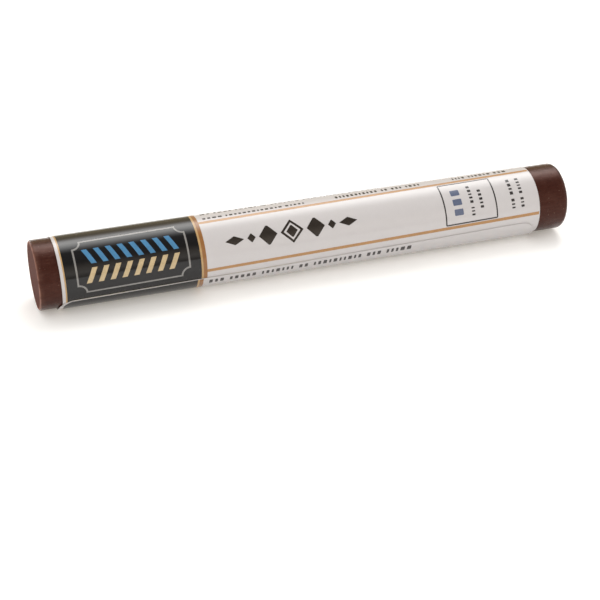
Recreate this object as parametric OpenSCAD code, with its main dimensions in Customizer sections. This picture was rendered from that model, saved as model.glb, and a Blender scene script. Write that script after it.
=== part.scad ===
// Furniture repair wax stick: a solid wax rod in a wrapped film label.
// The stick lies along X on the plane z = 0, with the middle of its length at x = 0.
// The label is a flat sheet wound a little more than once round the rod, at a slight slant.

/* [Wax stick] */
// Diameter of the wax rod
stick_diameter = 12.7; // [10:0.1:18]
// Length of the wax rod
stick_length = 102.1; // [95:0.1:160]
// Rounding of the rod's left rim
left_rim_rounding = 0.3; // [0.2:0.1:2]
// Rounding of the rod's right rim
right_rim_rounding = 0.8; // [0.2:0.1:2]

/* [Label sheet] */
// Length of the label along the stick
label_length = 92; // [75:0.5:94]
// Bare wax left of the label, along the free edge
bare_left = 3.2; // [1:0.1:4]
// How far the label's free edge laps over its hidden end
label_overlap = 5.3; // [3:0.1:8]
// Slant of the label on the stick, in degrees
label_slant = 1.03; // [0:0.01:2]
// Place of the free edge, in degrees from the top of the stick towards the front
free_edge_angle = 109.7; // [90:0.1:130]
// Corner radius of the label
label_corner = 2.8; // [0.5:0.1:4]
// Length over which the label comes down from its own hidden end
step_run = 1.5; // [0.8:0.1:3]

/* [Label plies] */
// Thickness of the adhesive
adhesive_thickness = 0.02; // [0.01:0.005:0.05]
// Thickness of the white film
film_thickness = 0.06; // [0.04:0.005:0.12]
// Thickness of the print
print_thickness = 0.02; // [0.01:0.005:0.03]
// Thickness of the clear laminate
laminate_thickness = 0.03; // [0.02:0.005:0.06]

/* [Black panel] */
// Width of the bare white strip at the label's left edge
white_strip = 0.56; // [0.3:0.01:1.5]
// Width of the pale hairline at the panel's left edge
hairline_width = 0.26; // [0.1:0.01:0.4]
// Width of the black panel
panel_width = 24.4; // [20:0.1:28]
// Bare film between the print and the label's free and hidden edges
print_margin = 0.15; // [0.05:0.01:0.5]
// Width of the pale part of the gold band
band_pale_width = 0.36; // [0.2:0.01:0.6]
// Width of the deep part of the gold band
band_deep_width = 0.7; // [0.4:0.01:1.2]

/* [Panel ornament] */
// Black left beside the silver border at each end
border_margin = 2.1; // [1:0.1:3]
// Height of the silver border round the stick
border_height = 9.6; // [8:0.1:10]
// Line width of the silver border
border_line = 0.32; // [0.2:0.01:0.5]
// Radius of the notches in the border's corners
border_notch = 1.5; // [0.8:0.1:2]
// Number of slanted bars in each herringbone row
herringbone_bars = 8; // [4:1:8]
// Width of one slanted bar
herringbone_bar = 0.95; // [0.5:0.05:1.1]
// Height of one herringbone row
herringbone_height = 2.7; // [1.5:0.1:3]
// Gap between the two herringbone rows
herringbone_gap = 0.7; // [0.3:0.1:1]
// Slant of a bar, as sideways run over its height
herringbone_slope = 0.5; // [0.2:0.05:0.6]

/* [Gold rules] */
// Width of a gold rule
rule_width = 0.62; // [0.3:0.01:1]
// Distance between the centres of the two rules
rule_spacing = 9.4; // [9:0.1:12]
// Distance from the lower rule's centre to the free edge that shows below it
rule_to_free_edge = 1.7; // [1:0.1:2.5]

/* [Title ornament] */
// Length of the ornament
title_length = 25.3; // [22:0.1:30]
// Height of the ornament's middle diamond
title_height = 4.4; // [3:0.1:5]
// Distance from the gold band to the ornament
title_offset = 3.8; // [2:0.1:6]
// Line width of the middle diamond's outline
title_line = 0.6; // [0.3:0.05:0.8]

/* [Shade box] */
// Length of the box along the stick
box_length = 10.4; // [8:0.1:12]
// Distance from the box to the label's right edge
box_to_edge = 8.85; // [6:0.05:12]
// Line width of the box
box_line = 0.28; // [0.15:0.01:0.5]
// Distance from the box's left side to the blue marks
shade_mark_inset = 1.8; // [1:0.1:2.2]
// Width of a blue mark
shade_mark_width = 1.8; // [1:0.1:2.4]
// Height of a blue mark
shade_mark_height = 1.2; // [0.6:0.1:1.5]
// Distance from one blue mark to the next
shade_mark_pitch = 1.9; // [1.6:0.1:2.5]
// Width of the dark bars in and beside the box
note_bar_width = 0.8; // [0.4:0.05:1.2]
// Length of the long dark bars
note_length = 6.3; // [4:0.1:7.8]
// Length of the short dark bar
short_note_length = 4; // [2:0.1:6]
// Distance from one dark bar to the next
note_pitch = 1.9; // [1.4:0.1:2.4]

/* [Small print] */
// Height of a small print bar
small_bar = 0.85; // [0.5:0.05:1]
// Height of the larger bars beside the free edge
flap_bar = 1.3; // [0.8:0.05:2]
// Distance from the free edge to the larger bars
flap_bar_to_edge = 0.5; // [0.3:0.05:1.2]
// Distance from one line of small print to the next
small_pitch = 1.9; // [1.4:0.1:2.5]

/* [Hidden] */

// Facets of the wound sheet: each spans this angle of the stick
facet_angle = 5;
corner_steps = 6;
radian = 180 / PI;

stick_radius = stick_diameter / 2;
facet_sag = stick_radius * (1 - cos(facet_angle / 2));
// Clearance between plies, which takes up the sag of their facets
clearance_share = 1.6;
ply_gap = clearance_share * facet_sag;

// Height of each ply's underside over the wax
adhesive_base = ply_gap;
film_base = adhesive_base + adhesive_thickness + ply_gap;
print_base = film_base + film_thickness + ply_gap;
laminate_base = print_base + print_thickness + ply_gap;
label_thickness = laminate_base + laminate_thickness;

axis_height = stick_radius + label_thickness;
wrap_radius = stick_radius + label_thickness / 2;
// Sheet length that goes once round the stick
turn = 2 * PI * wrap_radius / cos(label_slant);
label_height = turn + label_overlap;
lap_lift = label_thickness + ply_gap;
left_x = -stick_length / 2 + bare_left;

// Places on the sheet: u runs along the stick from the label's left edge, and s runs
// round the stick from the free edge to the hidden end.
panel_start = white_strip + hairline_width;
panel_end = panel_start + panel_width;
band_end = panel_end + band_pale_width + band_deep_width;
lower_rule = turn - rule_to_free_edge;
upper_rule = lower_rule - rule_spacing;
front_middle = (upper_rule + lower_rule) / 2;
white_width = label_length - band_end;
box_end = label_length - box_to_edge;
box_start = box_end - box_length;
border_start = panel_start + border_margin;
border_length = panel_width - 2 * border_margin;

// How much the sheet rises where it lies over its own hidden end
function lap(s) =
    let (run = min(1, max(0, (s - label_overlap) / step_run)))
    lap_lift * (1 - run * run * (3 - 2 * run));

// Point of the sheet in space, at a height over the wax
function wrap(u, s, height) =
    let (
        across = u - label_length / 2,
        x = left_x + label_length / 2 + across * cos(label_slant) + s * sin(label_slant),
        angle = free_edge_angle
            + (s * cos(label_slant) - across * sin(label_slant)) / wrap_radius * radian,
        radius = stick_radius + height + lap(s)
    )
    [x, -radius * sin(angle), axis_height + radius * cos(angle)];

// Number of facets that a length round, or along, the slanted sheet needs
function steps_round(length) = max(1, ceil(length / wrap_radius * radian / facet_angle));
function steps_along(length) = steps_round(length * sin(label_slant));
function spread(from, to, count) = [for (i = [0:count]) from + (to - from) * i / count];
// Inset of a rounded corner at a distance from the edge that it starts at
function corner_inset(distance, radius) =
    radius <= 0 || distance >= radius ? 0 :
    radius - sqrt(radius * radius - pow(radius - max(0, distance), 2));
function last(list) = list[len(list) - 1];

// Rows round the stick: finer within the corners, even between them
function rows(from, to, corner) =
    corner <= 0 ? spread(from, to, steps_round(to - from)) :
    concat(
        [for (i = [0:corner_steps - 1]) from + corner * (1 - cos(90 * i / corner_steps))],
        spread(from + corner, to - corner, steps_round(to - from - 2 * corner)),
        [for (i = [corner_steps - 1:-1:0]) to - corner * (1 - cos(90 * i / corner_steps))]
    );

// Closed shell between two heights, from the row places and each row's left and right ends
module patch(row, left, right, base, thickness) {
    columns = steps_along(max(right) - min(left));
    across = columns + 1;
    count = len(row);
    layer = across * count;
    points = [
        for (height = [base, base + thickness])
            for (j = [0:count - 1])
                for (i = [0:columns])
                    wrap(left[j] + (right[j] - left[j]) * i / columns, row[j], height)
    ];
    function at(level, i, j) = level * layer + j * across + i;
    outside = [
        for (j = [0:count - 2]) for (i = [0:columns - 1]) each [
            [at(1, i, j), at(1, i + 1, j + 1), at(1, i + 1, j)],
            [at(1, i, j), at(1, i, j + 1), at(1, i + 1, j + 1)]
        ]
    ];
    inside = [
        for (j = [0:count - 2]) for (i = [0:columns - 1]) each [
            [at(0, i, j), at(0, i + 1, j), at(0, i + 1, j + 1)],
            [at(0, i, j), at(0, i + 1, j + 1), at(0, i, j + 1)]
        ]
    ];
    ends = [
        for (i = [0:columns - 1]) each [
            [at(0, i, 0), at(1, i, 0), at(1, i + 1, 0)],
            [at(0, i, 0), at(1, i + 1, 0), at(0, i + 1, 0)],
            [at(0, i, count - 1), at(1, i + 1, count - 1), at(1, i, count - 1)],
            [at(0, i, count - 1), at(0, i + 1, count - 1), at(1, i + 1, count - 1)]
        ]
    ];
    sides = [
        for (j = [0:count - 2]) each [
            [at(0, 0, j), at(1, 0, j + 1), at(1, 0, j)],
            [at(0, 0, j), at(0, 0, j + 1), at(1, 0, j + 1)],
            [at(0, columns, j), at(1, columns, j), at(1, columns, j + 1)],
            [at(0, columns, j), at(1, columns, j + 1), at(0, columns, j + 1)]
        ]
    ];
    polyhedron(points, concat(outside, inside, ends, sides));
}

// Rounded rectangle on the sheet, with its own radius for the left and the right corners
module panel(u, s, size, base, thickness, left_corner = 0, right_corner = 0) {
    row = rows(s, s + size.y, max(left_corner, right_corner));
    function edge(place) = min(place - s, s + size.y - place);
    left = [for (place = row) u + corner_inset(edge(place), left_corner)];
    right = [for (place = row) u + size.x - corner_inset(edge(place), right_corner)];
    patch(row, left, right, base, thickness);
}

module print_panel(u, s, size) {
    panel(u, s, size, print_base, print_thickness);
}

// Diamond about a middle point, with its side tips cut to a short flat
module diamond(u, s, size) {
    tip_share = 0.05;
    tip = size.y * tip_share;
    half = size.y / 2;
    row = spread(s - half, s + half, 2 * steps_round(half));
    reach = [for (place = row) tip + (size.x / 2 - tip) * (1 - abs(place - s) / half)];
    patch(row, [for (r = reach) u - r], [for (r = reach) u + r], print_base, print_thickness);
}

// Bar that leans along the stick as it goes round
module slanted_bar(u, s, size, lean) {
    row = spread(s, s + size.y, steps_round(size.y));
    left = [for (place = row) u + lean * (place - s)];
    patch(row, left, [for (l = left) l + size.x], print_base, print_thickness);
}

// Closed line on the sheet, between an outer and an inner loop of [u, s] points
module loop_line(outer, inner) {
    count = len(outer);
    top = print_base + print_thickness;
    points = [
        for (i = [0:count - 1]) each [
            wrap(outer[i].x, outer[i].y, print_base), wrap(outer[i].x, outer[i].y, top),
            wrap(inner[i].x, inner[i].y, top), wrap(inner[i].x, inner[i].y, print_base)
        ]
    ];
    faces = [
        for (i = [0:count - 1]) for (k = [0:3])
            let (a = 4 * i + k, b = 4 * i + (k + 1) % 4)
            let (next = 4 * ((i + 1) % count), c = next + (k + 1) % 4, d = next + k)
            each [[a, b, c], [a, c, d]]
    ];
    polyhedron(points, faces);
}

// Loop of a rectangle, moved out by a distance, with points close enough to follow the stick
function rectangle_loop(low, high, out) =
    let (
        long = steps_along(high.x - low.x),
        round = steps_round(high.y - low.y),
        from = low - [out, out],
        size = high - low + 2 * [out, out]
    )
    concat(
        [for (i = [0:long - 1]) from + [size.x * i / long, 0]],
        [for (i = [0:round - 1]) from + [size.x, size.y * i / round]],
        [for (i = [0:long - 1]) from + [size.x - size.x * i / long, size.y]],
        [for (i = [0:round - 1]) from + [0, size.y - size.y * i / round]]
    );

// Loop of a rectangle whose corners are notched by quarter circles, moved out by a distance
function notched_loop(low, high, notch, out) =
    let (
        radius = notch - out,
        start = asin(-out / radius),
        arc = [for (i = [0:corner_steps]) start + (90 - 2 * start) * i / corner_steps],
        bend = [for (a = arc) radius * [cos(a), sin(a)]],
        round = steps_round(high.y - low.y),
        from = low.y + last(bend).y,
        to = high.y - last(bend).y,
        side = [for (i = [1:round - 1]) from + (to - from) * i / round]
    )
    concat(
        [for (i = [corner_steps:-1:0]) [low.x + bend[i].x, low.y + bend[i].y]],
        [for (i = [0:corner_steps]) [high.x - bend[i].x, low.y + bend[i].y]],
        [for (place = side) [high.x + out, place]],
        [for (i = [corner_steps:-1:0]) [high.x - bend[i].x, high.y - bend[i].y]],
        [for (i = [0:corner_steps]) [low.x + bend[i].x, high.y - bend[i].y]],
        [for (i = [len(side) - 1:-1:0]) [low.x - out, side[i]]]
    );

// Loop of a diamond about a middle point, with its tips moved in by a distance
function diamond_loop(u, s, size, inset) =
    let (
        count = steps_round(size.y / 2),
        x = size.x / 2 - inset,
        y = size.y / 2 - inset,
        tips = [[u, s - y], [u + x, s], [u, s + y], [u - x, s]]
    )
    [
        for (quarter = [0:3]) for (i = [0:count - 1])
            tips[quarter] + (tips[(quarter + 1) % 4] - tips[quarter]) * i / count
    ];

// Start and length of each bar in a line of bars as long as words
function word_bars(length, space, word_shares) =
    let (
        words = len(word_shares),
        total = word_shares * [for (word = word_shares) 1],
        unit = (length - space * (words - 1)) / total
    )
    [
        for (i = 0, place = 0; i < words; place = place + word_shares[i] * unit + space, i = i + 1)
            [place, word_shares[i] * unit]
    ];

// Row of bars that fills a length of the stick
module word_row(u, s, length, height, word_shares) {
    for (bar = word_bars(length, height / 2, word_shares))
        print_panel(u + bar[0], s, [bar[1], height]);
}

// Column of bars that runs round the stick
module word_column(u, s, length, width, word_shares) {
    for (bar = word_bars(length, width / 2, word_shares))
        print_panel(u, s + bar[0], [width, bar[1]]);
}

// Half of the rod's profile, with its rounded rim at the start
module half_profile(rim) {
    square([stick_radius - rim, stick_length / 2]);
    translate([0, rim])
        square([stick_radius, stick_length / 2 - rim]);
    translate([stick_radius - rim, rim])
        circle(r = rim, $fn = 48);
}

module wax_stick() {
    color([0.27, 0.15, 0.12])
        translate([-stick_length / 2, 0, axis_height])
            rotate([0, 90, 0])
                rotate_extrude($fn = 128)
                    union() {
                        half_profile(left_rim_rounding);
                        translate([0, stick_length])
                            mirror([0, 1])
                                half_profile(right_rim_rounding);
                    }
}

// One whole ply of the label
module label_ply(base, thickness) {
    panel(0, 0, [label_length, label_height], base, thickness, label_corner, label_corner);
}

module label_adhesive() {
    color([0.85, 0.83, 0.75]) label_ply(adhesive_base, adhesive_thickness);
}

module label_film() {
    color([0.93, 0.92, 0.9]) label_ply(film_base, film_thickness);
}

module clear_laminate() {
    color([0.9, 0.95, 1, 0.25]) label_ply(laminate_base, laminate_thickness);
}

// Upright strip that runs the whole way round, inside the print margin
module upright_strip(u, width, left_corner = 0) {
    panel(
        u, print_margin, [width, label_height - 2 * print_margin],
        print_base, print_thickness, left_corner
    );
}

module black_panel_print() {
    color([0.13, 0.13, 0.13]) upright_strip(panel_start, panel_width, label_corner - panel_start);
}

module gold_band_print() {
    color([0.7, 0.5, 0.28]) upright_strip(panel_end + band_pale_width, band_deep_width);
}

module pale_gold_edge_print() {
    color([0.86, 0.7, 0.48]) {
        upright_strip(panel_end, band_pale_width);
        row = rows(label_corner, label_height - label_corner, 0);
        patch(
            row, [for (place = row) white_strip], [for (place = row) panel_start],
            print_base, print_thickness
        );
    }
}

module gold_rule(s) {
    color([0.75, 0.55, 0.33])
        print_panel(band_end, s - rule_width / 2, [label_length - band_end - print_margin, rule_width]);
}

module upper_gold_rule_print() {
    gold_rule(upper_rule);
}

module lower_gold_rule_print() {
    gold_rule(lower_rule);
}

module silver_border_print() {
    low = [border_start, front_middle - border_height / 2];
    high = [border_start + border_length, front_middle + border_height / 2];
    color([0.62, 0.6, 0.58])
        loop_line(
            notched_loop(low, high, border_notch, border_line / 2),
            notched_loop(low, high, border_notch, -border_line / 2)
        );
}

module herringbone_row(s, lean) {
    run = herringbone_slope * herringbone_height;
    room = border_length - 2 * border_notch - run - herringbone_bar;
    pitch = room / (herringbone_bars - 1);
    first = border_start + border_notch + (lean < 0 ? run : 0);
    for (i = [0:herringbone_bars - 1])
        slanted_bar(
            first + i * pitch, s, [herringbone_bar, herringbone_height],
            lean * herringbone_slope
        );
}

module blue_herringbone_print() {
    color([0.3, 0.5, 0.68])
        herringbone_row(front_middle - herringbone_gap / 2 - herringbone_height, 1);
}

module gold_herringbone_print() {
    color([0.85, 0.72, 0.55]) herringbone_row(front_middle + herringbone_gap / 2, -1);
}

module title_ornament_print() {
    middle = band_end + title_offset + title_length / 2;
    side_share = 0.8;
    small_share = 0.36;
    core = title_height / 2;
    side = title_height * side_share;
    small = title_height * small_share;
    space = title_line;
    side_place = title_height / 2 + space + side / 2;
    small_place = side_place + side / 2 + space + small / 2;
    rule_inner = small_place + small / 2 + space;
    rule_length = title_length / 2 - rule_inner;
    color([0.2, 0.18, 0.16]) {
        diamond(middle, front_middle, [core, core]);
        loop_line(
            diamond_loop(middle, front_middle, [title_height, title_height], 0),
            diamond_loop(middle, front_middle, [title_height, title_height], title_line)
        );
        for (way = [-1, 1]) {
            diamond(middle + way * side_place, front_middle, [side, side]);
            diamond(middle + way * small_place, front_middle, [small, small]);
            diamond(
                middle + way * (rule_inner + rule_length / 2), front_middle,
                [rule_length, small]
            );
        }
    }
}

module shade_box_print() {
    low = [box_start, upper_rule + rule_width / 2 + box_line];
    high = [box_end, lower_rule - rule_width / 2 - box_line];
    color([0.25, 0.22, 0.2])
        loop_line(
            rectangle_loop(low, high, box_line / 2), rectangle_loop(low, high, -box_line / 2)
        );
}

module blue_shade_marks_print() {
    color([0.42, 0.48, 0.62])
        for (way = [-1:1])
            print_panel(
                box_start + shade_mark_inset,
                front_middle - shade_mark_height / 2 + way * shade_mark_pitch,
                [shade_mark_width, shade_mark_height]
            );
}

module shade_note_print() {
    two_word_shares = [4, 2];
    long_word_shares = [5, 3];
    one_word_shares = [1];
    first = box_start + box_length / 2;
    second = first + note_pitch;
    beside = box_end + (box_to_edge - note_bar_width - note_pitch) / 2;
    from = front_middle - note_length / 2;
    color([0.27, 0.25, 0.24]) {
        word_column(first, from, note_length, note_bar_width, two_word_shares);
        word_column(
            second, front_middle - short_note_length / 2, short_note_length, note_bar_width,
            one_word_shares
        );
        for (u = [beside, beside + note_pitch])
            word_column(u, from, note_length, note_bar_width, long_word_shares);
    }
}

module small_print() {
    start = band_end + small_bar;
    room = white_width - 2 * small_bar;
    flap_line_share = 0.62;
    flap_word_shares = [3, 5, 6, 2, 9, 3, 5];
    // Start, length, height and words of each group in the line above the upper rule
    group_shares = [
        [0, 0.31, 0.7, [4, 11, 4]], [0.4, 0.27, 1.15, [11, 2, 3, 4]], [0.77, 0.18, 1.1, [3, 5, 3]]
    ];
    // Words of the lines at the back
    line_shares = [
        [3, 5, 6, 2, 8, 4, 7, 3, 5], [6, 3, 4, 8, 2, 5, 3, 7, 4], [4, 7, 3, 5, 6, 3, 8, 2],
        [5, 2, 7, 4, 3, 6, 5, 3, 8]
    ];
    full_line_share = 0.95;
    last_line_share = 0.55;
    groups_end = upper_rule - rule_width / 2 - small_bar / 2;
    above_rule = groups_end - small_bar;
    text_from = label_overlap + step_run + small_pitch;
    lines = floor((above_rule - small_pitch - text_from) / small_pitch);
    first_line = above_rule - lines * small_pitch;
    color([0.3, 0.28, 0.27]) {
        word_row(start, flap_bar_to_edge, room * flap_line_share, flap_bar, flap_word_shares);
        for (group = group_shares) {
            bar = small_bar * group[2];
            word_row(start + room * group[0], groups_end - bar, room * group[1], bar, group[3]);
        }
        for (i = [0:lines - 1]) {
            length_share = i == lines - 1 ? last_line_share : full_line_share;
            word_row(
                start, first_line + i * small_pitch, room * length_share, small_bar,
                line_shares[i % len(line_shares)]
            );
        }
    }
}

wax_stick();
label_adhesive();
label_film();
black_panel_print();
gold_band_print();
pale_gold_edge_print();
upper_gold_rule_print();
lower_gold_rule_print();
silver_border_print();
blue_herringbone_print();
gold_herringbone_print();
title_ornament_print();
shade_box_print();
blue_shade_marks_print();
shade_note_print();
small_print();
clear_laminate();
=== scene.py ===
# Furniture repair wax stick: the wax rod, its wound film label and the marks printed on the label.
import math
import random

import bmesh
import bpy
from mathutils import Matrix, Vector, noise


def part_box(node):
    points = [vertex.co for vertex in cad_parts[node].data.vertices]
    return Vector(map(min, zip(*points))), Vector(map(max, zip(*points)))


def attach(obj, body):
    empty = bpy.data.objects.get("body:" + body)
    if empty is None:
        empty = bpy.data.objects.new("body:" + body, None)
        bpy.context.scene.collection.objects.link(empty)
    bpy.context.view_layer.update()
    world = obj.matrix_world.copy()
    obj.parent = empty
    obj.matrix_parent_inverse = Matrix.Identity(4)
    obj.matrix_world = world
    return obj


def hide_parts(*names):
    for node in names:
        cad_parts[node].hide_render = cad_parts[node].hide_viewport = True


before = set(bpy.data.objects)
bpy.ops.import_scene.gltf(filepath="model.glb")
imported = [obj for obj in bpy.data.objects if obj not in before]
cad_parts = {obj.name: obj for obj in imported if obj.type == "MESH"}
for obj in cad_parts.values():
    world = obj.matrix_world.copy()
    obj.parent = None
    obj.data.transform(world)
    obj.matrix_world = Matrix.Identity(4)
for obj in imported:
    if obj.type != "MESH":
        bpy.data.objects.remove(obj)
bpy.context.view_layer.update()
mm = 0.001
waxLow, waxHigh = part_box("wax_stick")
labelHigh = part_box("clear_laminate")[1]

# The rod is a straight cylinder along X, so its box gives its radius and the height of its axis.
stick = {
    "radius": (waxHigh.z - waxLow.z) / 2,
    "axisHeight": (waxHigh.z + waxLow.z) / 2,
    "leftEnd": waxLow.x,
    "rightEnd": waxHigh.x,
    "leftRim": 0.3 * mm,
    "rightRim": 0.8 * mm,
    "rimWear": 0.05 * mm,      # how deep the rounded rims are knocked back
    "dentDepth": 0.03 * mm,    # shallow handling dents in the bare ends
}
# The label is a flat sheet: u runs along the stick from its left edge, s round it from its free edge.
label = {
    "length": 92 * mm,
    "bareLeft": 3.2 * mm,
    "overlap": 5.3 * mm,
    "stepRun": 1.5 * mm,       # how far the sheet takes to climb over its own hidden end
    "stepGap": 0.01 * mm,      # air over the hidden end
    "slant": math.radians(1.03),
    "freeEdge": math.radians(109.7),   # turned from the top of the stick
    "corner": 2.8 * mm,
    "filmBase": 0.039 * mm,    # height of the film's back over the wax
    "inkDepth": 0.006 * mm,    # how deep the inks reach into the sheet
    "panelProud": 0.004 * mm,  # height of the ground inks over the sheet
    "markProud": 0.004 * mm,   # height of the marks over the ground inks
    "waviness": 0.012 * mm,    # how far the film stands off and dips
    "waveLength": 13 * mm,
    "waveLevel": 0.8,          # share of the waviness that lies below the even film
    "edgeWobble": 0.12 * mm,   # how far the hand-laid free edge wanders
    "wobbleLength": 24 * mm,
    "wobbleReach": 3 * mm,     # how far in from the free edge the wander has died away
    "sharpEdge": math.radians(35),     # bends above this are cut edges
    "rowStep": 0.17 * mm,      # rows of the mesh round the stick
    "columnStep": 1.5 * mm,    # columns of the mesh along it
}
label["thickness"] = labelHigh.z - waxHigh.z
label["wrapRadius"] = stick["radius"] + label["thickness"] / 2
label["turn"] = 2 * math.pi * label["wrapRadius"] / math.cos(label["slant"])
label["height"] = label["turn"] + label["overlap"]
label["lift"] = label["thickness"] + label["stepGap"]


# sRGB hex to linear
def srgb(hexCode, alpha=1.0):
    parts = [int(hexCode[i:i + 2], 16) / 255 for i in (1, 3, 5)]
    return [c / 12.92 if c <= 0.04045 else ((c + 0.055) / 1.055) ** 2.4 for c in parts] + [alpha]


# One node with its settings, and a value or a link for each input. A colour mix takes its factor
# at input 0 and its colours at 6 and 7, and gives its result at output 2.
def addNode(tree, kind, inputs=None, **settings):
    node = tree.nodes.new(kind)
    for name, value in settings.items():
        setattr(node, name, value)
    for name, value in (inputs or {}).items():
        if isinstance(value, bpy.types.NodeSocket):
            tree.links.new(value, node.inputs[name])
        else:
            node.inputs[name].default_value = value
    return node


def newMaterial(name):
    material = bpy.data.materials.new(name)
    material.use_nodes = True
    material.node_tree.nodes.clear()
    return material, material.node_tree


# Wax

waxLook = {
    "colour": "#371912",
    "darkFleck": "#26100C",
    "bloom": "#5E4036",       # dry pale film that rubbed wax takes on
    "bloomShare": 0.12,
    "paleRimWearAndHighlight": "#9A6F5E",   # rims pale where they are knocked, and a painted highlight along the rounded rim
    "speck": "#9C8474",       # dust pressed into the wax
    "mottle": 1.8,            # mm
    "lump": 1.5,              # mm, unevenness of the drawn side
    "lumpHeight": 0.06,       # mm
    "grain": 0.25,            # mm, coarser than the real pigment so that it shows
    "grainHeight": 0.0012,    # mm
    "speckSize": 0.28,        # mm, coarser than real dust so that it shows
    "scuffLength": 2.5,       # mm
    "scuffWidth": 0.3,        # mm
    "lightDepth": 0.6,        # mm, how deep light gets into the wax
    "roughness": 0.26,
    "shine": 0.5,
    "sheenTint": "#FFC9B9",   # pigment near the surface warms the shine
    # Paler than the side's wax: painted sheen on the dull ends
    "endColourWithPaintedSheen": "#54291D",
    "endRoughness": 0.7,      # the cast ends are dull
    "endShine": 0.14,
}


# Hard wax filler, cast with iron-oxide pigment: satin, almost opaque, rubbed and slightly bloomed
def hardWax(name, base, roughness, shine):
    material, tree = newMaterial(name)
    look = waxLook
    place = addNode(tree, "ShaderNodeTexCoord").outputs["Object"]
    mottle = addNode(tree, "ShaderNodeTexNoise", {
        "Vector": place, "Scale": 1 / (look["mottle"] * mm), "Detail": 4.0, "Roughness": 0.6})
    grain = addNode(tree, "ShaderNodeTexNoise", {
        "Vector": place, "Scale": 1 / (look["grain"] * mm), "Detail": 3.0, "Roughness": 0.7})
    stretched = addNode(tree, "ShaderNodeMapping", {
        "Vector": place, "Scale": (look["scuffWidth"] / look["scuffLength"], 1.0, 1.0)})
    scuffs = addNode(tree, "ShaderNodeTexNoise", {
        "Vector": stretched.outputs["Vector"], "Scale": 1 / (look["scuffWidth"] * mm),
        "Detail": 5.0, "Roughness": 0.75})
    fleck = addNode(tree, "ShaderNodeMapRange", {
        "Value": grain.outputs["Fac"], "From Min": 0.52, "From Max": 0.72})
    body = addNode(tree, "ShaderNodeMix", {
        0: fleck.outputs["Result"], 6: srgb(base), 7: srgb(look["darkFleck"])}, data_type="RGBA")
    rubbed = addNode(tree, "ShaderNodeMapRange", {
        "Value": scuffs.outputs["Fac"], "From Min": 0.48, "From Max": 0.8,
        "To Max": look["bloomShare"] * 2})
    cloudy = addNode(tree, "ShaderNodeMapRange", {
        "Value": mottle.outputs["Fac"], "From Min": 0.45, "From Max": 0.7,
        "To Max": look["bloomShare"]})
    bloom = addNode(tree, "ShaderNodeMath", {
        0: rubbed.outputs["Result"], 1: cloudy.outputs["Result"]}, operation="ADD")
    bloomed = addNode(tree, "ShaderNodeMix", {
        0: bloom.outputs[0], 6: body.outputs[2], 7: srgb(look["bloom"])}, data_type="RGBA")
    # Pale dust here and there, and pale rims: wear, and a painted highlight along the rounded rim
    dust = addNode(tree, "ShaderNodeTexNoise", {
        "Vector": place, "Scale": 1 / (look["speckSize"] * mm), "Detail": 0.0})
    speck = addNode(tree, "ShaderNodeMapRange", {
        "Value": dust.outputs["Fac"], "From Min": 0.79, "From Max": 0.86, "To Max": 0.3})
    dusted = addNode(tree, "ShaderNodeMix", {
        0: speck.outputs["Result"], 6: bloomed.outputs[2], 7: srgb(look["speck"])},
        data_type="RGBA")
    # Paleness of the rims, kept on the mesh: wear, and a painted highlight
    wearAndRimHighlight = addNode(tree, "ShaderNodeAttribute", attribute_name="rim_wear_and_highlight").outputs["Fac"]
    colour = addNode(tree, "ShaderNodeMix", {
        0: wearAndRimHighlight, 6: dusted.outputs[2], 7: srgb(look["paleRimWearAndHighlight"])}, data_type="RGBA")
    dullness = addNode(tree, "ShaderNodeMapRange", {
        "Value": bloom.outputs[0], "To Min": roughness - 0.03, "To Max": roughness + 0.2})
    lumps = addNode(tree, "ShaderNodeTexNoise", {
        "Vector": place, "Scale": 1 / (look["lump"] * mm), "Detail": 2.0, "Roughness": 0.55})
    uneven = addNode(tree, "ShaderNodeBump", {
        "Strength": 1.0, "Distance": look["lumpHeight"] * mm, "Height": lumps.outputs["Fac"]})
    bumps = addNode(tree, "ShaderNodeMath", {
        0: grain.outputs["Fac"], 1: scuffs.outputs["Fac"]}, operation="ADD")
    bump = addNode(tree, "ShaderNodeBump", {
        "Strength": 0.9, "Distance": look["grainHeight"] * mm, "Height": bumps.outputs[0],
        "Normal": uneven.outputs["Normal"]})
    surface = addNode(tree, "ShaderNodeBsdfPrincipled", {
        "Base Color": colour.outputs[2], "Roughness": dullness.outputs["Result"],
        "IOR": 1.35, "Specular IOR Level": shine, "Specular Tint": srgb(look["sheenTint"]),
        "Subsurface Weight": 0.05, "Subsurface Radius": (0.6, 0.25, 0.15),
        "Subsurface Scale": look["lightDepth"] * mm, "Normal": bump.outputs["Normal"]})
    addNode(tree, "ShaderNodeOutputMaterial", {"Surface": surface.outputs["BSDF"]})
    return material


# Label film and inks

printLook = {
    "film": "#C6C1BF",
    "black": "#161515",
    "deepGold": "#91643A",
    "paleGold": "#B59364",
    "ruleGold": "#AA7F52",
    "badgeGold": "#C0A982",
    "silver": "#85827E",
    "steelBlue": "#4C7EA3",
    "shadeBlue": "#5E667B",
    "titleInk": "#2F2924",
    "textInk": "#3A3635",
    "inkRoughness": 0.5,
    "coatRoughness": 0.045,
    "dotPitch": 0.22,        # mm, coarser than the real print screen so that it shows
    "streak": 1.1,           # mm, faint unevenness of the ink lay-down
    "ripple": 5.0,           # mm, slack in the wound film
    "rippleHeight": 0.006,   # mm
}


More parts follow.
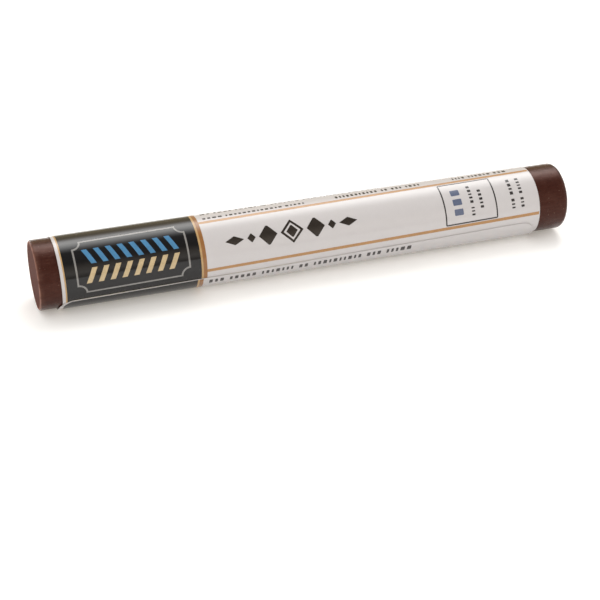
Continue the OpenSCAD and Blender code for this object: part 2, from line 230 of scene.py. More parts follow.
# Ink on white polypropylene film under a gloss laminate: flat colour, sharp clear reflections
def laminatedPrint(name, hexCode, unevenness):
    material, tree = newMaterial(name)
    look = printLook
    place = addNode(tree, "ShaderNodeTexCoord").outputs["Object"]
    dots = addNode(tree, "ShaderNodeTexNoise", {
        "Vector": place, "Scale": 1 / (look["dotPitch"] * mm), "Detail": 1.0, "Roughness": 0.5})
    streaks = addNode(tree, "ShaderNodeTexNoise", {
        "Vector": place, "Scale": 1 / (look["streak"] * mm), "Detail": 3.0, "Roughness": 0.6})
    both = addNode(tree, "ShaderNodeMath", {
        0: dots.outputs["Fac"], 1: streaks.outputs["Fac"]}, operation="ADD")
    value = addNode(tree, "ShaderNodeMapRange", {
        "Value": both.outputs[0], "From Min": 0.7, "From Max": 1.3,
        "To Min": 1 - unevenness, "To Max": 1 + unevenness})
    colour = addNode(tree, "ShaderNodeHueSaturation", {
        "Value": value.outputs["Result"], "Color": srgb(hexCode)})
    ripple = addNode(tree, "ShaderNodeTexNoise", {
        "Vector": place, "Scale": 1 / (look["ripple"] * mm), "Detail": 2.0, "Roughness": 0.45})
    bump = addNode(tree, "ShaderNodeBump", {
        "Strength": 1.0, "Distance": look["rippleHeight"] * mm,
        "Height": ripple.outputs["Fac"]})
    surface = addNode(tree, "ShaderNodeBsdfPrincipled", {
        "Base Color": colour.outputs["Color"], "Roughness": look["inkRoughness"],
        "Specular IOR Level": 0.05, "Coat Weight": 1.0, "Coat IOR": 1.42,
        "Coat Roughness": look["coatRoughness"], "Coat Normal": bump.outputs["Normal"]})
    addNode(tree, "ShaderNodeOutputMaterial", {"Surface": surface.outputs["BSDF"]})
    return material


adhesiveLook = {
    "clean": "#D8D2BE",
    "dusty": "#B9AE98",
    "dustPatch": 0.8,   # mm
    "roughness": 0.35,
}


# Acrylic adhesive: a slightly yellow line at the label's cut edges, which takes up dust
def clearAdhesive():
    material, tree = newMaterial("acrylic_adhesive")
    look = adhesiveLook
    place = addNode(tree, "ShaderNodeTexCoord").outputs["Object"]
    dust = addNode(tree, "ShaderNodeTexNoise", {
        "Vector": place, "Scale": 1 / (look["dustPatch"] * mm), "Detail": 3.0,
        "Roughness": 0.6})
    colour = addNode(tree, "ShaderNodeMix", {
        0: dust.outputs["Fac"], 6: srgb(look["clean"]), 7: srgb(look["dusty"])},
        data_type="RGBA")
    surface = addNode(tree, "ShaderNodeBsdfPrincipled", {
        "Base Color": colour.outputs[2], "Roughness": look["roughness"], "IOR": 1.47})
    addNode(tree, "ShaderNodeOutputMaterial", {"Surface": surface.outputs["BSDF"]})
    return material


# Wrapping

weld = 1e-4 * mm    # points closer than this are joined
onCut = 1e-6 * mm   # points closer than this to a cut lie on it

# Sizes that every piece wound on the stick shares
wrapSizes = {
    "Stick Radius": stick["radius"], "Axis Height": stick["axisHeight"],
    "Wrap Radius": label["wrapRadius"], "Left Edge": stick["leftEnd"] + label["bareLeft"],
    "Label Length": label["length"], "Slant": label["slant"], "Free Edge": label["freeEdge"],
    "Overlap": label["overlap"], "Step Run": label["stepRun"], "Lift": label["lift"],
    "Waviness": label["waviness"], "Edge Wobble": label["edgeWobble"],
}


# Tree that a geometry and a material go into, with further inputs, and a geometry comes out of
def newTree(name, inputs):
    tree = bpy.data.node_groups.new(name, "GeometryNodeTree")
    for item, kind in {"Geometry": "Geometry", "Material": "Material", **inputs}.items():
        tree.interface.new_socket(name=item, in_out="INPUT", socket_type="NodeSocket" + kind)
    tree.interface.new_socket(
        name="Geometry", in_out="OUTPUT", socket_type="NodeSocketGeometry")
    return tree, addNode(tree, "NodeGroupInput").outputs


# Tree that gives a flat shape its thickness and winds it round the stick
def wrapTree():
    tree, start = newTree(
        "wrap_on_stick", dict.fromkeys(("Base", "Thickness", *wrapSizes), "Float"))

    # A closed slab: the extruded face, its sides, and the flat shape turned over beneath
    slab = addNode(tree, "GeometryNodeExtrudeMesh", {
        "Mesh": start["Geometry"], "Offset Scale": start["Thickness"],
        "Individual": False}, mode="FACES")
    under = addNode(tree, "GeometryNodeFlipFaces", {"Mesh": start["Geometry"]})
    joined = addNode(tree, "GeometryNodeJoinGeometry")
    tree.links.new(slab.outputs["Mesh"], joined.inputs[0])
    tree.links.new(under.outputs["Mesh"], joined.inputs[0])
    closed = addNode(tree, "GeometryNodeMergeByDistance", {
        "Geometry": joined.outputs["Geometry"], "Distance": weld})

    place = addNode(tree, "GeometryNodeInputPosition").outputs["Position"]
    flat = addNode(tree, "ShaderNodeSeparateXYZ", {"Vector": place}).outputs
    # The free edge was laid by hand, so it wanders a little, less and less away from the edge
    edgeNoise = addNode(tree, "ShaderNodeTexNoise", {
        "W": flat["X"], "Scale": 1 / label["wobbleLength"], "Detail": 2.0},
        noise_dimensions="1D")
    swing = addNode(tree, "ShaderNodeMapRange", {
        "Value": edgeNoise.outputs["Fac"], "From Min": 0.25, "From Max": 0.75,
        "To Min": -1.0, "To Max": 1.0})
    nearEdge = addNode(tree, "ShaderNodeMapRange", {
        "Value": flat["Y"], "From Min": 0.0, "From Max": label["wobbleReach"],
        "To Min": start["Edge Wobble"], "To Max": 0.0}, interpolation_type="SMOOTHSTEP")
    around = addNode(tree, "ShaderNodeMath", {
        0: swing.outputs["Result"], 1: nearEdge.outputs["Result"], 2: flat["Y"]},
        operation="MULTIPLY_ADD").outputs[0]
    onSheet = addNode(tree, "ShaderNodeCombineXYZ", {"X": flat["X"], "Y": around})
    # Slack in the film
    slack = addNode(tree, "ShaderNodeTexNoise", {
        "Vector": onSheet.outputs["Vector"], "Scale": 1 / label["waveLength"], "Detail": 1.5})
    slackRise = addNode(tree, "ShaderNodeMath", {
        0: slack.outputs["Fac"], 1: label["waveLevel"]}, operation="SUBTRACT")
    # Rise over the label's own hidden end
    stepEnd = addNode(tree, "ShaderNodeMath", {
        0: start["Overlap"], 1: start["Step Run"]}, operation="ADD")
    lap = addNode(tree, "ShaderNodeMapRange", {
        "Value": around, "From Min": start["Overlap"], "From Max": stepEnd.outputs[0],
        "To Min": start["Lift"], "To Max": 0.0}, interpolation_type="SMOOTHSTEP")
    rise = addNode(tree, "ShaderNodeMath", {
        0: slackRise.outputs[0], 1: start["Waviness"], 2: lap.outputs["Result"]},
        operation="MULTIPLY_ADD")
    # Slant, about the middle of the label's length
    halfLength = addNode(tree, "ShaderNodeMath", {
        0: start["Label Length"], 1: 0.5}, operation="MULTIPLY")
    sheetMiddle = addNode(tree, "ShaderNodeCombineXYZ", {"X": halfLength.outputs[0]})
    slanted = addNode(tree, "ShaderNodeVectorRotate", {
        "Vector": onSheet.outputs["Vector"], "Center": sheetMiddle.outputs["Vector"],
        "Angle": start["Slant"]}, rotation_type="Z_AXIS", invert=True)
    turned = addNode(tree, "ShaderNodeSeparateXYZ", {"Vector": slanted.outputs["Vector"]}).outputs
    # Each point goes to its height over the top of the rod and is then turned round the axis
    arc = addNode(tree, "ShaderNodeMath", {
        0: turned["Y"], 1: start["Wrap Radius"]}, operation="DIVIDE")
    angle = addNode(tree, "ShaderNodeMath", {
        0: arc.outputs[0], 1: start["Free Edge"]}, operation="ADD")
    inSheet = addNode(tree, "ShaderNodeMath", {0: start["Base"], 1: flat["Z"]}, operation="ADD")
    overRod = addNode(tree, "ShaderNodeMath", {
        0: inSheet.outputs[0], 1: rise.outputs[0]}, operation="ADD")
    radius = addNode(tree, "ShaderNodeMath", {
        0: start["Stick Radius"], 1: overRod.outputs[0]}, operation="ADD")
    top = addNode(tree, "ShaderNodeMath", {
        0: start["Axis Height"], 1: radius.outputs[0]}, operation="ADD")
    along = addNode(tree, "ShaderNodeMath", {
        0: turned["X"], 1: start["Left Edge"]}, operation="ADD")
    atTop = addNode(tree, "ShaderNodeCombineXYZ", {"X": along.outputs[0], "Z": top.outputs[0]})
    onAxis = addNode(tree, "ShaderNodeCombineXYZ", {"Z": start["Axis Height"]})
    wound = addNode(tree, "ShaderNodeVectorRotate", {
        "Vector": atTop.outputs["Vector"], "Center": onAxis.outputs["Vector"],
        "Angle": angle.outputs[0]}, rotation_type="X_AXIS")
    moved = addNode(tree, "GeometryNodeSetPosition", {
        "Geometry": closed.outputs["Geometry"], "Position": wound.outputs["Vector"]})
    outward = addNode(tree, "GeometryNodeFlipFaces", {"Mesh": moved.outputs["Geometry"]})
    smooth = addNode(tree, "GeometryNodeSetShadeSmooth", {
        "Geometry": outward.outputs["Mesh"], "Shade Smooth": True}, domain="FACE")
    corner = addNode(tree, "GeometryNodeInputMeshEdgeAngle").outputs["Unsigned Angle"]
    sharp = addNode(tree, "ShaderNodeMath", {
        0: corner, 1: label["sharpEdge"]}, operation="GREATER_THAN")
    cutEdges = addNode(tree, "GeometryNodeSetShadeSmooth", {
        "Geometry": smooth.outputs["Geometry"], "Shade Smooth": False,
        "Selection": sharp.outputs[0]}, domain="EDGE")
    real = addNode(tree, "GeometryNodeRealizeInstances", {
        "Geometry": cutEdges.outputs["Geometry"]})
    painted = addNode(tree, "GeometryNodeSetMaterial", {
        "Geometry": real.outputs["Geometry"], "Material": start["Material"]})
    addNode(tree, "NodeGroupOutput", {"Geometry": painted.outputs["Geometry"]})
    return tree


wrapOnStick = wrapTree()


# Row of copies of a flat bar along u
def barRowTree():
    tree, start = newTree("row_of_bars", {"Count": "Int", "Pitch": "Float"})
    step = addNode(tree, "ShaderNodeCombineXYZ", {"X": start["Pitch"]}).outputs["Vector"]
    line = addNode(tree, "GeometryNodeMeshLine", {
        "Count": start["Count"], "Offset": step}, mode="OFFSET")
    bars = addNode(tree, "GeometryNodeInstanceOnPoints", {
        "Points": line.outputs["Mesh"], "Instance": start["Geometry"]})
    real = addNode(tree, "GeometryNodeRealizeInstances", {"Geometry": bars.outputs["Instances"]})
    painted = addNode(tree, "GeometryNodeSetMaterial", {
        "Geometry": real.outputs["Geometry"], "Material": start["Material"]})
    addNode(tree, "NodeGroupOutput", {"Geometry": painted.outputs["Geometry"]})
    return tree


rowOfBars = barRowTree()


# Puts a tree on a piece with its inputs, each set by its socket's identifier
def addTree(piece, tree, inputs):
    modifier = piece.modifiers.new(tree.name, "NODES")
    modifier.node_group = tree
    names = {item.name: item.identifier for item in tree.interface.items_tree
             if item.item_type == "SOCKET" and item.in_out == "INPUT"}
    for name, value in inputs.items():
        modifier[names[name]] = value


# The evaluated shape as a plain mesh, with no modifier left
def settle(piece):
    bpy.context.view_layer.update()
    evaluated = piece.evaluated_get(bpy.context.evaluated_depsgraph_get())
    mesh = bpy.data.meshes.new_from_object(evaluated)
    piece.modifiers.clear()
    piece.data = mesh
    mesh.name = piece.name


# Flat shape from closed loops of (u, s) points, the first outside and the rest holes, cut into
# rows and columns fine enough to follow the stick
def flatShape(name, shapes):
    mesh = bmesh.new()
    for loops in shapes:
        edges = []
        for loop in loops:
            corners = [mesh.verts.new((u, s, 0)) for u, s in loop]
            edges += [mesh.edges.new((corners[i - 1], corners[i])) for i in range(len(corners))]
        bmesh.ops.triangle_fill(mesh, use_beauty=True, edges=edges, normal=(0, 0, 1))
    for axis, step in ((1, label["rowStep"]), (0, label["columnStep"])):
        places = [v.co[axis] for v in mesh.verts]
        first = math.floor(min(places) / step) + 1
        last = math.ceil(max(places) / step)
        normal = Vector((axis == 0, axis == 1, 0))
        for i in range(first, last):
            bmesh.ops.bisect_plane(
                mesh, geom=mesh.verts[:] + mesh.edges[:] + mesh.faces[:], dist=onCut,
                plane_co=normal * (i * step), plane_no=normal)
    for face in mesh.faces:
        if face.normal.z < 0:
            face.normal_flip()
    data = bpy.data.meshes.new(name)
    mesh.to_mesh(data)
    mesh.free()
    piece = bpy.data.objects.new(name, data)
    bpy.context.scene.collection.objects.link(piece)
    return piece


# Winds a flat piece on the stick as the dressed form of CAD nodes, and hangs it on the body
def windOn(piece, material, nodes, base, thickness):
    addTree(piece, wrapOnStick, {
        **wrapSizes, "Material": material, "Base": base, "Thickness": thickness})
    settle(piece)
    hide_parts(*nodes)
    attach(piece, "root")
    print("wound", piece.name, len(piece.data.polygons), "faces")


# Loops on the flat label

def rectangle(u, s, width, height):
    return [(u, s), (u + width, s), (u + width, s + height), (u, s + height)]


# Rectangle with rounded corners, the left pair and the right pair each with a radius
def rounded(u, s, width, height, left, right=None, steps=5):
    right = left if right is None else right
    corners = [(u + left, s + left, left, 180), (u + width - right, s + right, right, 270),
               (u + width - right, s + height - right, right, 0),
               (u + left, s + height - left, left, 90)]
    loop = []
    for cu, cs, radius, first in corners:
        for i in range(steps + 1 if radius > 0 else 1):
            turn = math.radians(first + 90 * i / steps)
            loop.append((cu + radius * math.cos(turn), cs + radius * math.sin(turn)))
    return loop


# Rectangle with quarter-round notches at its corners, moved out by a distance
def notched(u, s, width, height, notch, out, steps=12):
    radius = notch - out
    start = math.asin(-out / radius)
    bend = [start + (math.pi / 2 - 2 * start) * i / steps for i in range(steps + 1)]
    places = [(u, s, 1, 1, -1), (u + width, s, -1, 1, 1),
              (u + width, s + height, -1, -1, -1), (u, s + height, 1, -1, 1)]
    return [(cu + du * radius * math.cos(a), cs + ds * radius * math.sin(a))
            for cu, cs, du, ds, way in places for a in bend[::way]]


def diamond(u, s, width, height, tip=0.0):
    halfWidth, halfHeight = width / 2, height / 2
    if tip == 0:
        return [(u, s - halfHeight), (u + halfWidth, s), (u, s + halfHeight), (u - halfWidth, s)]
    return [(u - tip, s - halfHeight), (u + tip, s - halfHeight), (u + halfWidth, s),
            (u + tip, s + halfHeight), (u - tip, s + halfHeight), (u - halfWidth, s)]


# Blocks that stand for lettering
block = {
    "widths": (0.4, 0.54, 0.7),   # shares of the pitch, as the next two
    "gap": 0.45,
    "margin": 0.25,
    "inset": 0.08,                # shares of the line's height, as the next two
    "corner": 0.1,
    "wordSpace": 0.5,
}


# Start and length of each bar in a line of bars as long as words
def wordBars(length, space, shares):
    unit = (length - space * (len(shares) - 1)) / sum(shares)
    place = 0.0
    bars = []
    for share in shares:
        bars.append((place, share * unit))
        place += share * unit + space
    return bars


# Start and width of each upright block that a word's bar is split into
def wordBlocks(size, pitch, picker):
    gap, margin = block["gap"] * pitch, block["margin"] * pitch
    room = size - 2 * margin
    narrowest = min(block["widths"]) * pitch
    widths = [picker.choice(block["widths"]) * pitch]
    while sum(widths) + len(widths) * gap < room - narrowest:
        widths.append(picker.choice(block["widths"]) * pitch)
    fit = (room - gap * (len(widths) - 1)) / sum(widths)
    return [(margin + sum(widths[:i]) * fit + gap * i, width * fit)
            for i, width in enumerate(widths)]


# Line of words along the stick, with a seed of its own from its place
def wordRow(u, s, length, height, pitch, shares):
    picker = random.Random(round(s / mm * 10))
    inset, corner = block["inset"] * height, block["corner"] * height
    return [[rounded(u + place + at, s + inset, wide, height - 2 * inset, corner, steps=2)]
            for place, size in wordBars(length, block["wordSpace"] * height, shares)
            for at, wide in wordBlocks(size, pitch, picker)]


# The same round the stick
def wordColumn(u, s, length, width, pitch, shares):
    picker = random.Random(round(u / mm * 10))
    inset, corner = block["inset"] * width, block["corner"] * width
    return [[rounded(u + inset, s + place + at, width - 2 * inset, wide, corner, steps=2)]
            for place, size in wordBars(length, block["wordSpace"] * width, shares)
            for at, wide in wordBlocks(size, pitch, picker)]


# Label

sheetTop = label["thickness"] - label["panelProud"] - label["markProud"]
groundTop = sheetTop + label["panelProud"]


# Ink on the sheet, and with onGround a mark printed over another ink
def windInk(piece, material, node, onGround=False):
    top = label["thickness"] if onGround else groundTop
    base = sheetTop - label["inkDepth"]
    windOn(piece, material, [node], base, top - base)


filmWhite = laminatedPrint("white_film_under_laminate", printLook["film"], 0.012)
film = flatShape("label_sheet", [[rounded(0, 0, label["length"], label["height"],
                                          label["corner"], steps=14)]])
windOn(film, filmWhite, ["label_film", "clear_laminate"], label["filmBase"],
       sheetTop - label["filmBase"])

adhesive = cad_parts["label_adhesive"]
adhesive.data.materials.clear()
adhesive.data.materials.append(clearAdhesive())

# Panel, band and rules
panel = {
    "start": 0.82 * mm,
    "width": 24.4 * mm,
    "hairline": 0.26 * mm,
    "margin": 0.15 * mm,
    "freeMargin": 0.05 * mm,   # the cut runs close to the ink along the free edge
    "paleWidth": 0.36 * mm,
    "deepWidth": 0.7 * mm,
}
panelEnd = panel["start"] + panel["width"]
bandEnd = panelEnd + panel["paleWidth"] + panel["deepWidth"]
fullHeight = label["height"] - panel["freeMargin"] - panel["margin"]
inkBlack = laminatedPrint("black_ink_under_laminate", printLook["black"], 0.1)
inkDeepGold = laminatedPrint("deep_gold_ink_under_laminate", printLook["deepGold"], 0.08)
inkPaleGold = laminatedPrint("pale_gold_ink_under_laminate", printLook["paleGold"], 0.08)
inkRuleGold = laminatedPrint("rule_gold_ink_under_laminate", printLook["ruleGold"], 0.08)

blackPanel = flatShape("black_panel", [[rounded(
    panel["start"], panel["freeMargin"], panel["width"], fullHeight,
    label["corner"] - panel["start"], 0, steps=12)]])
windInk(blackPanel, inkBlack, "black_panel_print")
goldBand = flatShape("gold_band", [[rectangle(
    panelEnd + panel["paleWidth"], panel["freeMargin"], panel["deepWidth"], fullHeight)]])
windInk(goldBand, inkDeepGold, "gold_band_print")
paleEdge = flatShape("pale_gold_edge", [
    [rectangle(panelEnd, panel["freeMargin"], panel["paleWidth"], fullHeight)],
    [rectangle(panel["start"] - panel["hairline"], label["corner"], panel["hairline"],
               label["height"] - 2 * label["corner"])]])
windInk(paleEdge, inkPaleGold, "pale_gold_edge_print")

rules = {
    "width": 0.62 * mm,
    "spacing": 9.4 * mm,
    "toFreeEdge": 1.7 * mm,
}
lowerRule = label["turn"] - rules["toFreeEdge"]
upperRule = lowerRule - rules["spacing"]
frontMiddle = (lowerRule + upperRule) / 2
ruleLength = label["length"] - bandEnd - panel["margin"]
for name, s in (("upper_gold_rule", upperRule), ("lower_gold_rule", lowerRule)):
    rule = flatShape(name, [[rectangle(bandEnd, s - rules["width"] / 2, ruleLength,
                                       rules["width"])]])
    windInk(rule, inkRuleGold, name + "_print")

# Silver frame with two rows of slanted bars
badge = {
    "margin": 2.1 * mm,
    "height": 9.6 * mm,
    "line": 0.32 * mm,
    "notch": 1.5 * mm,
    "bars": 8,
    "bar": 0.95 * mm,
    "barHeight": 2.7 * mm,
    "gap": 0.7 * mm,
    "slope": 0.5,
}
inkSilver = laminatedPrint("silver_ink_under_laminate", printLook["silver"], 0.12)
inkBlue = laminatedPrint("steel_blue_ink_under_laminate", printLook["steelBlue"], 0.1)
inkBadgeGold = laminatedPrint("badge_gold_ink_under_laminate", printLook["badgeGold"], 0.1)
badgeStart = panel["start"] + badge["margin"]
badgeLength = panel["width"] - 2 * badge["margin"]
badgeLow = frontMiddle - badge["height"] / 2
border = flatShape("silver_border", [[
    notched(badgeStart, badgeLow, badgeLength, badge["height"], badge["notch"], way * badge["line"])
    for way in (0.5, -0.5)]])
windInk(border, inkSilver, "silver_border_print", True)

run = badge["slope"] * badge["barHeight"]
barPitch = (badgeLength - 2 * badge["notch"] - run - badge["bar"]) / (badge["bars"] - 1)
for name, s, lean, material, slot in (
        ("blue_herringbone", frontMiddle - badge["gap"] / 2 - badge["barHeight"], 1, inkBlue,
         "blue_print"),
        ("gold_herringbone", frontMiddle + badge["gap"] / 2, -1, inkBadgeGold,
         "pale_gold_print")):
    u = badgeStart + badge["notch"] + (run if lean < 0 else 0)
    row = flatShape(name, [[[
        (u, s), (u + badge["bar"], s),
        (u + badge["bar"] + lean * run, s + badge["barHeight"]),
        (u + lean * run, s + badge["barHeight"])]]])
    addTree(row, rowOfBars, {"Material": material, "Count": badge["bars"], "Pitch": barPitch})
    settle(row)
    windInk(row, material, name + "_print", True)

# Ornament in the middle of the white part
title = {
    "offset": 3.8 * mm,
    "length": 25.3 * mm,
    "height": 4.4 * mm,
    "line": 0.6 * mm,
    "sideShare": 0.8,
    "smallShare": 0.36,
    "tipShare": 0.05,
}
inkTitle = laminatedPrint("dark_brown_ink_under_laminate", printLook["titleInk"], 0.1)
titleMiddle = bandEnd + title["offset"] + title["length"] / 2
side = title["height"] * title["sideShare"]
small = title["height"] * title["smallShare"]
sidePlace = title["height"] / 2 + title["line"] + side / 2
smallPlace = sidePlace + side / 2 + title["line"] + small / 2
taperInner = smallPlace + small / 2 + title["line"]
taper = title["length"] / 2 - taperInner
core = title["height"] / 2
ornament = [
    [diamond(titleMiddle, frontMiddle, core, core, core * title["tipShare"])],
    [diamond(titleMiddle, frontMiddle, title["height"], title["height"]),
     diamond(titleMiddle, frontMiddle, title["height"] - 2 * title["line"],
             title["height"] - 2 * title["line"])]]
for way in (-1, 1):
    ornament += [
        [diamond(titleMiddle + way * sidePlace, frontMiddle, side, side,
                 side * title["tipShare"])],
        [diamond(titleMiddle + way * smallPlace, frontMiddle, small, small,
                 small * title["tipShare"])],
        [diamond(titleMiddle + way * (taperInner + taper / 2), frontMiddle, taper, small,
                 small * title["tipShare"])]]
windInk(flatShape("title_ornament", ornament), inkTitle, "title_ornament_print")

# Shade box, the marks in it and the marks beside it
shade = {
    "length": 10.4 * mm,
    "toEdge": 8.85 * mm,
    "line": 0.28 * mm,
    "corner": 0.16 * mm,
    "markInset": 1.8 * mm,
    "markWidth": 1.8 * mm,
    "markHeight": 1.2 * mm,
    "markPitch": 1.9 * mm,
    "markCorner": 0.18 * mm,
    "noteBar": 0.8 * mm,
    "noteLength": 6.3 * mm,
    "shortNote": 4 * mm,
    "notePitch": 1.9 * mm,
    "blockPitch": 0.75 * mm,
}
inkText = laminatedPrint("grey_black_ink_under_laminate", printLook["textInk"], 0.12)
inkShadeBlue = laminatedPrint("grey_blue_ink_under_laminate", printLook["shadeBlue"], 0.1)
boxEnd = label["length"] - shade["toEdge"]
boxStart = boxEnd - shade["length"]
boxLow = upperRule + rules["width"] / 2 + shade["line"]
boxHeight = lowerRule - rules["width"] / 2 - shade["line"] - boxLow
boxLine = shade["line"] / 2
box = flatShape("shade_box", [[
    rounded(boxStart - out, boxLow - out, shade["length"] + 2 * out, boxHeight + 2 * out,
            shade["corner"] + out) for out in (boxLine, -boxLine)]])
windInk(box, inkText, "shade_box_print")
marks = flatShape("blue_shade_marks", [
    [rounded(boxStart + shade["markInset"],
             frontMiddle - shade["markHeight"] / 2 + way * shade["markPitch"],
             shade["markWidth"], shade["markHeight"], shade["markCorner"])]
    for way in (-1, 0, 1)])
windInk(marks, inkShadeBlue, "blue_shade_marks_print")
firstNote = boxStart + shade["length"] / 2
beside = boxEnd + (shade["toEdge"] - shade["noteBar"] - shade["notePitch"]) / 2
noteFrom = frontMiddle - shade["noteLength"] / 2
notes = wordColumn(firstNote, noteFrom, shade["noteLength"], shade["noteBar"],
                   shade["blockPitch"], [4, 2])
notes += wordColumn(firstNote + shade["notePitch"], frontMiddle - shade["shortNote"] / 2,
                    shade["shortNote"], shade["noteBar"], shade["blockPitch"], [1])
for u in (beside, beside + shade["notePitch"]):
    notes += wordColumn(u, noteFrom, shade["noteLength"], shade["noteBar"],
                        shade["blockPitch"], [5, 3])
windInk(flatShape("shade_notes", notes), inkText, "shade_note_print")

# Small print, as plain bars as long as words
smallText = {
    "bar": 0.85 * mm,
    "pitch": 1.9 * mm,
    "blockPitch": 0.8 * mm,
    # The larger row beside the free edge, its length a share of the room
    "flapBar": 1.3 * mm,
    "flapToEdge": 0.5 * mm,
    "flapBlockPitch": 1.0 * mm,
    "flapLength": 0.62,
    "flapWords": [3, 5, 6, 2, 9, 3, 5],
    # Groups above the upper rule: start and length as shares of the room, height as a share of
    # the bar, and words
    "groups": [[0, 0.31, 0.7, [4, 11, 4]], [0.4, 0.27, 1.15, [11, 2, 3, 4]],
               [0.77, 0.18, 1.1, [3, 5, 3]]],
    # Lines on the back, the last one shorter
    "lineLength": 0.95,
    "lastLength": 0.55,
    "lines": [[3, 5, 6, 2, 8, 4, 7, 3, 5], [6, 3, 4, 8, 2, 5, 3, 7, 4],
              [4, 7, 3, 5, 6, 3, 8, 2], [5, 2, 7, 4, 3, 6, 5, 3, 8]],
}
bar = smallText["bar"]
textStart = bandEnd + bar
textRoom = label["length"] - bandEnd - 2 * bar
words = wordRow(textStart, smallText["flapToEdge"], textRoom * smallText["flapLength"],
                smallText["flapBar"], smallText["flapBlockPitch"], smallText["flapWords"])
groupsEnd = upperRule - rules["width"] / 2 - bar / 2
aboveRule = groupsEnd - bar
for place, length, height, shares in smallText["groups"]:
    words += wordRow(textStart + textRoom * place, groupsEnd - bar * height, textRoom * length,
                     bar * height, smallText["blockPitch"], shares)
textFrom = label["overlap"] + label["stepRun"] + smallText["pitch"]
lineCount = math.floor((aboveRule - smallText["pitch"] - textFrom) / smallText["pitch"])
firstLine = aboveRule - lineCount * smallText["pitch"]
for i in range(lineCount):
    length = smallText["lastLength" if i == lineCount - 1 else "lineLength"]
    words += wordRow(textStart, firstLine + i * smallText["pitch"], textRoom * length, bar,
                     smallText["blockPitch"], smallText["lines"][i % len(smallText["lines"])])
windInk(flatShape("small_print_bars", words), inkText, "small_print")

# Wax stick

rodMesh = {
    "segments": 256,
    "faceRings": (0.04, 0.2, 0.4, 0.6, 0.75, 0.88, 0.96),   # shares of the flat end's radius
    "rimStep": 6,              # degrees
    "sideFrom": 1.0 * mm,
    "sideStep": 0.25 * mm,
    "sideRings": 33,
}
# Noise between -1 and 1 places the wear, and the levels are added to it before it is cut off at 0
wearAndRimHighlight = {
    "knock": 1.1 * mm,         # sizes of the knocks on the rims
    "smallKnock": 0.4 * mm,
    "knockLevel": 0.25,
    "rimMiddle": 0.2 * mm,     # from the end face
    "rimReach": 0.55 * mm,
    "rimZone": 1.1,            # from the side inwards, as a share of the rim's rounding
    "dent": 2.3 * mm,          # size of the dents in the bare sides
    "dentShift": Vector((7, 3, 1)),
    "dentLevel": -0.05,
    "dentsTo": 8.2 * mm,       # from the end face, dying away over the last dentFade
    "dentFade": 1.0 * mm,
    "dish": 1.7 * mm,          # size of the hollows in the end faces
    "dishLevel": 0.6,
    "faceDepth": 0.02 * mm,    # points this close to the end face belong to it
    "paleAlong": 0.1,          # middle of the pale ring of wear and painted highlight, as shares of the rim's rounding
    "paleInward": 0.9,
    "paleReach": 0.26 * mm,
    "paleLevel": 0.8,
    "paleSwing": 0.6,
}


# Place along the rod and radius of a point on its side, rim or end after wear, and its
# paleness: rim wear and a painted highlight
def wornPoint(along, r, rim, turn):
    radius = stick["radius"]
    length = stick["rightEnd"] - stick["leftEnd"]
    near = min(along, length - along)
    spot = Vector((along, r * math.sin(turn), r * math.cos(turn)))
    knock = noise.noise(spot / wearAndRimHighlight["knock"]) + 0.5 * noise.noise(spot / wearAndRimHighlight["smallKnock"])
    dent = noise.noise(spot / wearAndRimHighlight["dent"] + wearAndRimHighlight["dentShift"])
    onRim = math.exp(-((near - wearAndRimHighlight["rimMiddle"]) / wearAndRimHighlight["rimReach"]) ** 2)
    if r <= radius - wearAndRimHighlight["rimZone"] * rim:
        onRim = 0.0
    bare = max(0.0, min(1.0, (wearAndRimHighlight["dentsTo"] - near) / wearAndRimHighlight["dentFade"]))
    inward = (stick["rimWear"] * onRim * max(0.0, knock + wearAndRimHighlight["knockLevel"])
              + stick["dentDepth"] * bare * max(0.0, dent + wearAndRimHighlight["dentLevel"]))
    dish = 0.0
    if near < wearAndRimHighlight["faceDepth"]:
        hollow = max(0.0, wearAndRimHighlight["dishLevel"] + noise.noise(spot / wearAndRimHighlight["dish"]))
        dish = stick["dentDepth"] * hollow * (1 - (r / (radius - rim)) ** 4)
    # Paleness of the rim, where the side meets the end: rubbed wear, and a painted highlight
    fromRing = math.hypot(near - wearAndRimHighlight["paleAlong"] * rim, radius - wearAndRimHighlight["paleInward"] * rim - r)
    pale = min(1.0, max(0.0, wearAndRimHighlight["paleLevel"] + wearAndRimHighlight["paleSwing"] * knock))
    pale *= math.exp(-(fromRing / wearAndRimHighlight["paleReach"]) ** 2)
    return along + (dish if along < length / 2 else -dish), r - inward, pale


